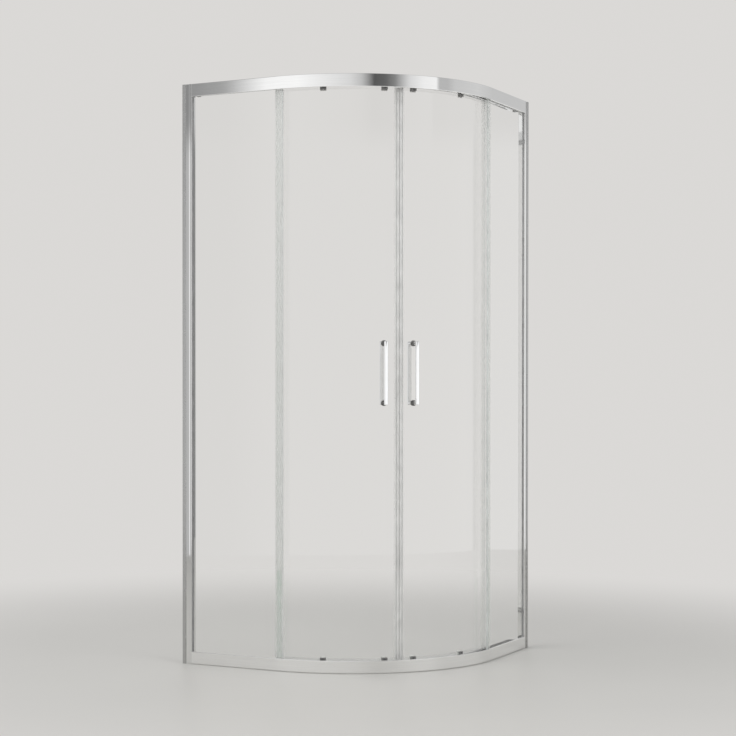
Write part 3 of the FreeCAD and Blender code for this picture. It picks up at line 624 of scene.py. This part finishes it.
# %% [markdown]
# ## Rails
# The top rail carries the doors. Its fascia hides the wheels, a pocket in it takes the fixed glass,
# and a shelf at the back is the wheels' track. The bottom rail has the same pocket, two ribs that
# guide the doors, and slots that drain it. Both are one extrusion, bent on rollers: a straight leg, a
# quarter circle and a straight leg. In nodes that is a three-point line with its corner filleted.

# %% The rule of a bent rail
rail_rule, given = new_rule("bent_rail", [
    ("Half Side", "Float", HALF), ("Corner Radius", "Float", RADIUS), ("End Gap", "Float", NOSE_END),
    ("Curve Steps", "Int", CURVE_STEPS), ("Outline", "Object", None), ("Cutters", "Object", None),
    ("Finish", "Material", None)])
reach = reckon(rail_rule, "SUBTRACT", given["Half Side"], given["End Gap"])
start_x = reckon(rail_rule, "MULTIPLY", reach, -1.0)
front_y = reckon(rail_rule, "MULTIPLY", given["Half Side"], -1.0)
number = add_node(rail_rule, "GeometryNodeInputIndex").outputs[0]
is_first, is_last = [
    add_node(rail_rule, "FunctionNodeCompare", {"data_type": "INT", "operation": "EQUAL"},
             i2=number, i3=index).outputs[0] for index in (0, 2)]
x_of = add_node(rail_rule, "GeometryNodeSwitch", {"input_type": "FLOAT"},
                Switch=is_first, i1=given["Half Side"], i2=start_x)
y_of = add_node(rail_rule, "GeometryNodeSwitch", {"input_type": "FLOAT"},
                Switch=is_last, i1=front_y, i2=reach)
spot_of = add_node(rail_rule, "ShaderNodeCombineXYZ", None, X=x_of.outputs[0], Y=y_of.outputs[0])
line3 = add_node(rail_rule, "GeometryNodeMeshLine", None, Count=3)
placed = add_node(rail_rule, "GeometryNodeSetPosition", None, Geometry=line3.outputs[0],
                  Position=spot_of.outputs[0])
path = add_node(rail_rule, "GeometryNodeMeshToCurve", None, Mesh=placed.outputs[0])
bent = add_node(rail_rule, "GeometryNodeFilletCurve", {"mode": "POLY"}, Curve=path.outputs[0],
                Count=given["Curve Steps"], Radius=given["Corner Radius"])
section = add_node(rail_rule, "GeometryNodeObjectInfo", None, Object=given["Outline"])
bent_rail = add_node(rail_rule, "GeometryNodeCurveToMesh", None, Curve=bent.outputs[0],
                     Profile_Curve=section.outputs["Geometry"], Fill_Caps=True)
holes = add_node(rail_rule, "GeometryNodeObjectInfo", None, Object=given["Cutters"])
drilled = add_node(rail_rule, "GeometryNodeMeshBoolean", {"operation": "DIFFERENCE", "solver": "EXACT"},
                   Mesh_1=bent_rail.outputs[0], Mesh_2=holes.outputs["Geometry"])
end_rule(rail_rule, drilled.outputs[0], given["Finish"])
print("rail rule:", len(rail_rule.nodes), "nodes")

# %% Outlines of the two rails: corners are (depth, height), and a few have a larger round
BACK, RIB, POCKET = RAIL_D - SKIN, 0.017, 0.015
TOP_SECTION = [
    (0, 1.908), (0.0033, 1.908), (0.0033, 1.9096), (0.002, 1.9096), (0.002, 1.948), (POCKET, 1.948),
    (POCKET, 1.912), (RIB, 1.912), (RIB, 1.948), (BACK, 1.948), (BACK, 1.922), (0.0475, 1.922),
    (0.0475, 1.920), (BACK, 1.920), (BACK, 1.917), (RAIL_D, 1.917), (RAIL_D, HEIGHT), (0, HEIGHT)]
LOW_SECTION = [
    (0, 0), (RAIL_D, 0), (RAIL_D, 0.031), (BACK, 0.031), (BACK, SKIN), (0.053, SKIN), (0.053, 0.016),
    (0.051, 0.016), (0.051, SKIN), (0.029, SKIN), (0.029, 0.016), (0.027, 0.016), (0.027, SKIN),
    (RIB, SKIN), (RIB, 0.038), (POCKET, 0.038), (POCKET, SKIN), (SKIN, SKIN), (SKIN, 0.0404),
    (0.0033, 0.0404), (0.0033, RAIL_H), (0, RAIL_H)]
TOP_ROUNDS = {0: 0.0006, 16: 0.0012, 17: 0.0012}
LOW_ROUNDS = {0: 0.0035, 2: 0.0006, 21: 0.0012}
top_outline = outline_object("top_outline", TOP_SECTION, TOP_ROUNDS)
low_outline = outline_object("low_outline", LOW_SECTION, LOW_ROUNDS)
print("section points:", [len(o.data.splines[0].points) for o in (top_outline, low_outline)])

# %% Holes in the rails, and the rails themselves
SCREW_X, SCREW_Y = -0.409, -0.412
HEAD_R, SHANK_R, HEAD_DEPTH, SHANK_DEPTH, PROUD = 0.0040, 0.00205, 0.00215, 0.012, 0.0001
WEEP_ANGLES = (-40, -24, -8, 8, 24, 40)
WEEP_SIZE, WEEP_Z, WEEP_INSET = (0.005, 0.014, 0.003), 0.0035, 0.0005
MID_HEIGHT = 1
rail_screws = [Vector((SCREW_X, SCREW_Y, z)) for z in (HEIGHT, 0.0)]
rail_screws += across(rail_screws)
sunk = []
for p in rail_screws:
    way = Vector((0, 0, -1 if p.z > MID_HEIGHT else 1))
    sunk.append(("rod", p - way * PROUD, way, HEAD_DEPTH, HEAD_R, SHANK_R))
    sunk.append(("rod", p, way, SHANK_DEPTH, SHANK_R, SHANK_R))
weep_r = RADIUS - RAIL_D + WEEP_INSET
weeps = [("block", on_curve(weep_r, a, WEEP_Z), outward(a)[0], WEEP_SIZE) for a in WEEP_ANGLES]
top_holes = cutter("top_holes", [s for s in sunk if s[1].z > MID_HEIGHT])
low_holes = cutter("low_holes", [s for s in sunk if s[1].z < MID_HEIGHT] + weeps)
RAIL_SIZES = {"Half Side": HALF, "Corner Radius": RADIUS, "End Gap": NOSE_END,
              "Curve Steps": CURVE_STEPS, "Finish": CHROME}
for name, node, outline, holes in (("rail_top", "top_rail", top_outline, top_holes),
                                   ("rail_bottom", "bottom_rail", low_outline, low_holes)):
    rail = bake(name, rail_rule, {**RAIL_SIZES, "Outline": outline, "Cutters": holes})
    seat(rail, "frame", node)

# %% [markdown]
# ## Curved door glass
# A curved pane is toughened flat glass bent over a mould, 6 mm thick, with ground edges. The rule
# carries its upright section round an arc. Holes and notches are cut after that, though the glass
# works cut them before bending.

# %% The rule of a curved pane
pane_rule, given = new_rule("curved_pane", [
    ("Radius", "Float", DOOR_R), ("Start Angle", "Float", 0.0), ("Sweep", "Float", 1.0),
    ("Steps", "Int", PANE_STEPS), ("Centre", "Vector", None), ("Outline", "Object", None),
    ("Cutters", "Object", None), ("Finish", "Material", None)])
arc = add_node(pane_rule, "GeometryNodeCurveArc", {"mode": "RADIUS"}, Resolution=given["Steps"],
               Radius=given["Radius"], Start_Angle=given["Start Angle"], Sweep_Angle=given["Sweep"])
there = add_node(pane_rule, "GeometryNodeTransform", None, Geometry=arc.outputs[0],
                 Translation=given["Centre"])
section = add_node(pane_rule, "GeometryNodeObjectInfo", None, Object=given["Outline"])
bent_pane = add_node(pane_rule, "GeometryNodeCurveToMesh", None, Curve=there.outputs[0],
                     Profile_Curve=section.outputs["Geometry"], Fill_Caps=True)
holes = add_node(pane_rule, "GeometryNodeObjectInfo", None, Object=given["Cutters"])
cut_pane = add_node(pane_rule, "GeometryNodeMeshBoolean", {"operation": "DIFFERENCE", "solver": "EXACT"},
                    Mesh_1=bent_pane.outputs[0], Mesh_2=holes.outputs["Geometry"], Self_Intersection=True)
end_rule(pane_rule, cut_pane.outputs[0], given["Finish"])
print("pane rule:", len(pane_rule.nodes), "nodes")

# %% Ground edges
FACES_ALONG = 0.8


def grind_edges(thing, broad_way):
    """Give a pane's narrow faces a ground finish. broad_way says where the pane looks at a spot."""
    thing.data.materials.append(GROUND_EDGE)
    ground = len(thing.data.materials) - 1
    count = 0
    for face in thing.data.polygons:
        if abs(face.normal.dot(broad_way(face.center).normalized())) < FACES_ALONG:
            face.material_index = ground
            count += 1
    print(thing.name, "ground faces", count)


print("edge tool ready")

# %% Both door panes
HALF_T = GLASS_T / 2
FRONT_GAP, PANE_END, PANE_ROUND = 0.012, 46.0, 0.0007
HOLE_R, HOLE_WIDE, HOLE_LONG = 0.004, 0.008, 0.016
NOTCHES = ((1.908, 1.918), (0.0425, 0.031))
edge_angle = math.degrees(FRONT_GAP / DOOR_R)
pane_outline = outline_object(
    "pane_outline", [(-HALF_T, DOOR_LOW), (HALF_T, DOOR_LOW), (HALF_T, DOOR_TOP), (-HALF_T, DOOR_TOP)],
    {k: PANE_ROUND for k in range(4)})


def through(angle, z, sign):
    """A rod through the pane at a place."""
    start = on_curve(DOOR_R - HOLE_LONG / 2, angle, z, sign)
    return "rod", start, outward(angle, sign)[0], HOLE_LONG, HOLE_R, HOLE_R


for side, sign in SIDES.items():
    cuts = []
    for a in CLAMP_ANGLES:
        for z, open_z in NOTCHES:
            cuts.append(through(a, z, sign))
            cuts.append(("block", on_curve(DOOR_R, a, (z + open_z) / 2, sign), outward(a, sign)[0],
                         (HOLE_LONG, HOLE_WIDE, abs(open_z - z))))
    for z in (HANDLE_Z - POST_SPREAD, HANDLE_Z + POST_SPREAD):
        cuts.append(through(HANDLE_ANGLE, z, sign))
    begin = DIAGONAL - PANE_END if sign > 0 else DIAGONAL + edge_angle
    pane = bake("door_pane_" + side, pane_rule, {
        "Radius": DOOR_R, "Start Angle": math.radians(begin), "Steps": PANE_STEPS,
        "Sweep": math.radians(PANE_END - edge_angle), "Centre": CENTRE, "Outline": pane_outline,
        "Cutters": cutter("pane_holes_" + side, cuts), "Finish": GLASS})
    grind_edges(pane, lambda spot: (spot - CENTRE) * Vector((1, 1, 0)))
    seat(pane, "door_" + side, "door_glass_" + side)

# %% [markdown]
# ## Handles
# A handle is a bar on two feet, outside and inside the glass. Bar and feet are turned on a lathe, so
# an axis and the radius along it say everything. The rule wraps a circle round each axis, sets a foot
# at both heights, joins them to the bar and puts the handle at its place on the curve.

# %% Axes for turned pieces
CROWN, CROWN_SHARE, TIP_STEPS = 0.00002, 0.85, 6
BAR_ROUND = 0.002
FOOT_TIP = [(0.0, 0.94), (0.0004, 0.985), (0.0009, 1.0)]


def turned(length, radius, fillet):
    """Marks along a turned piece with rounded ends: (distance, share of the full radius)."""
    tip = []
    for k in range(TIP_STEPS + 1):
        w = math.pi / 2 * k / TIP_STEPS
        tip.append((CROWN + fillet * (1 - math.cos(w)), 1 - fillet * (1 - math.sin(w)) / radius))
    tip.insert(0, (0.0, tip[0][1] * CROWN_SHARE))
    return tip + [(length - t, share) for t, share in reversed(tip)]


def axis_line(name, start, way, marks):
    """An axis that a rule can read, with the radius share at every mark."""
    return helper_curve(name, "3D", [(Vector(start) + Vector(way) * t, share) for t, share in marks])


print("marks on a bar:", len(turned(BAR_L, BAR_R, BAR_ROUND)))


# %% The rule of a pull handle
def wrapped_round(tree, axis, radius):
    """A circle carried along an axis, its size following the axis's radius."""
    ring = add_node(tree, "GeometryNodeCurvePrimitiveCircle", None, Resolution=64, Radius=radius)
    size = add_node(tree, "GeometryNodeInputRadius")
    tube = add_node(tree, "GeometryNodeCurveToMesh", None, Curve=axis, Profile_Curve=ring.outputs[0],
                    Scale=size.outputs[0], Fill_Caps=True)
    return tube.outputs[0]


handle_rule, given = new_rule("pull_handle", [
    ("Bar Radius", "Float", BAR_R), ("Foot Radius", "Float", FOOT_R),
    ("Foot Spacing", "Float", 2 * POST_SPREAD), ("Turn", "Vector", None), ("Centre", "Vector", None),
    ("Bar Axis", "Object", None), ("Foot Axis", "Object", None), ("Finish", "Material", None)])
bar_axis = add_node(handle_rule, "GeometryNodeObjectInfo", None, Object=given["Bar Axis"])
foot_axis = add_node(handle_rule, "GeometryNodeObjectInfo", None, Object=given["Foot Axis"])
bar_mesh = wrapped_round(handle_rule, bar_axis.outputs["Geometry"], given["Bar Radius"])
foot_mesh = wrapped_round(handle_rule, foot_axis.outputs["Geometry"], given["Foot Radius"])
half_space = reckon(handle_rule, "MULTIPLY", given["Foot Spacing"], -0.5)
lowest = add_node(handle_rule, "ShaderNodeCombineXYZ", None, Z=half_space)
upward = add_node(handle_rule, "ShaderNodeCombineXYZ", None, Z=given["Foot Spacing"])
foot_spots = add_node(handle_rule, "GeometryNodeMeshLine", None, Count=2,
                      Start_Location=lowest.outputs[0], Offset=upward.outputs[0])
both_feet = add_node(handle_rule, "GeometryNodeInstanceOnPoints", None, Points=foot_spots.outputs[0],
                     Instance=foot_mesh)
real_feet = add_node(handle_rule, "GeometryNodeRealizeInstances", None, Geometry=both_feet.outputs[0])
one_handle = add_node(handle_rule, "GeometryNodeMeshBoolean", {"operation": "UNION", "solver": "EXACT"})
handle_rule.links.new(bar_mesh, one_handle.inputs["Mesh 2"])
handle_rule.links.new(real_feet.outputs[0], one_handle.inputs["Mesh 2"])
set_down = add_node(handle_rule, "GeometryNodeTransform", None, Geometry=one_handle.outputs[0],
                    Translation=given["Centre"], Rotation=given["Turn"])
end_rule(handle_rule, set_down.outputs[0], given["Finish"])
print("handle rule:", len(handle_rule.nodes), "nodes")

# %% Four handles
foot_length = BAR_REACH - FOOT_FACE
bar_marks, foot_marks = turned(BAR_L, BAR_R, BAR_ROUND), FOOT_TIP + [(foot_length, 1.0)]
# The inner bars take the darker copy of the chrome, a painted shade.
for place, way, bar_finish in (("outer", 1, CHROME_BAR), ("inner", -1, PAINTED_SHADE_BAR)):
    bar_line = axis_line("bar_axis", (DOOR_R + way * BAR_REACH, 0, -BAR_L / 2), (0, 0, 1), bar_marks)
    foot_line = axis_line("foot_axis", (DOOR_R + way * FOOT_FACE, 0, 0), (way, 0, 0), foot_marks)
    for side, sign in SIDES.items():
        handle = bake("pull_" + place + "_" + side, handle_rule, {
            "Bar Radius": BAR_R, "Foot Radius": FOOT_R, "Foot Spacing": 2 * POST_SPREAD,
            "Turn": (0, 0, math.radians(DIAGONAL - HANDLE_ANGLE * sign)),
            "Centre": CENTRE + Vector((0, 0, HANDLE_Z)), "Bar Axis": bar_line, "Foot Axis": foot_line,
            "Finish": bar_finish})
        seat(handle, "door_" + side, "handle_" + place + "_" + side)

# %% [markdown]
# ## Small parts with broken edges
# Moulded, stamped and turned parts never have a knife edge. Most small CAD parts get a copy whose
# true edges are rounded by a few tenths of a millimetre, so that every edge catches a thin light. The
# flat panes get the same, with the ground edges of the doors.

# %% Round the edges of the small parts
SAME_POINT, FLAT_WITHIN, TRUE_EDGE = 0.000002, math.radians(0.5), math.radians(40)
LARGEST_ROUND_FACE = 0.00002


def soften(name, width, finish):
    """A copy of a CAD part with its edges rounded; it stands for the part. Only the small
    four-sided faces of the rounds are shaded smooth."""
    bm = bmesh.new()
    bm.from_mesh(NODES[name].data)
    bmesh.ops.remove_doubles(bm, verts=bm.verts, dist=SAME_POINT)
    bmesh.ops.dissolve_limit(bm, angle_limit=FLAT_WITHIN, verts=bm.verts, edges=bm.edges)
    edges = [e for e in bm.edges if e.is_manifold and e.calc_face_angle() > TRUE_EDGE]
    bmesh.ops.bevel(bm, geom=edges, offset=width, segments=2, profile=0.5, affect="EDGES",
                    clamp_overlap=True)
    bm.verts.index_update()
    mesh = bpy.data.meshes.new("soft_" + name)
    mesh.from_pydata([v.co for v in bm.verts], [], [[v.index for v in f.verts] for f in bm.faces])
    open_edges = sum(not e.is_manifold for e in bm.edges)
    litres = bm.calc_volume(signed=True) * 1000
    bm.free()
    mesh.materials.append(finish)
    thing = new_object("soft_" + name, mesh)
    seat(thing, NODES[name]["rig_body"], name)
    for face in mesh.polygons:
        face.use_smooth = len(face.vertices) == 4 and face.area < LARGEST_ROUND_FACE
    print("   open edges", open_edges, "volume in litres", round(litres, 4))
    return thing


# The width of the round, and the finish.
SOFT = {
    "clamp_caps": (0.0005, CAP_PLASTIC), "carriage_front": (0.0004, DARK_PLASTIC),
    "carriage_rear": (0.0004, DARK_PLASTIC), "guide_front": (0.0005, NYLON),
    "guide_rear": (0.0005, NYLON), "hanger_front": (0.0003, STEEL), "hanger_rear": (0.0003, STEEL),
    "hanger_bolts": (0.0002, STEEL), "rail_block_top": (0.0004, DARK_PLASTIC),
    "rail_block_bottom": (0.0004, DARK_PLASTIC), "handle_washers": (0.0003, DARK_PLASTIC),
}
for base, (width, finish) in SOFT.items():
    for side in SIDES:
        soften(base + "_" + side, width, finish)
soften("door_stops", 0.0006, GASKET)
for side, faces_to in (("left", Vector((0, 1, 0))), ("right", Vector((1, 0, 0)))):
    flat_pane = soften("fixed_glass_" + side, 0.0001, GLASS)
    grind_edges(flat_pane, lambda spot: faces_to)
soften("frame_screws", 0.0001, STEEL)
soften("adjusting_screws", 0.0002, STEEL)

# %% Finishes for the nodes that keep their CAD mesh
KEEP = {
    "wall_channel": ANODISED, "side_profile": BRIGHT_PROFILE, "glazing_gasket": GASKET,
    "edge_seal": STRIP, "rear_seal": STRIP, "drip_seal": STRIP, "magnet_profile": STRIP,
    "magnet_strip": MAGNET, "handle_studs": STEEL, "clamp_screws": DARK_SCREW, "wheel_front": NYLON,
    "wheel_rear": NYLON,
}
for base, finish in KEEP.items():
    for side in SIDES:
        node = NODES[base + "_" + side]
        if not node.data.materials:
            node.data.materials.append(finish)
        for place in node.material_slots:
            place.material = finish
print("CAD nodes with a finish:", len(KEEP) * len(SIDES))

# %% Tidy up: remove the helper curves and cutters
for thing in HELPERS:
    bpy.data.objects.remove(thing)
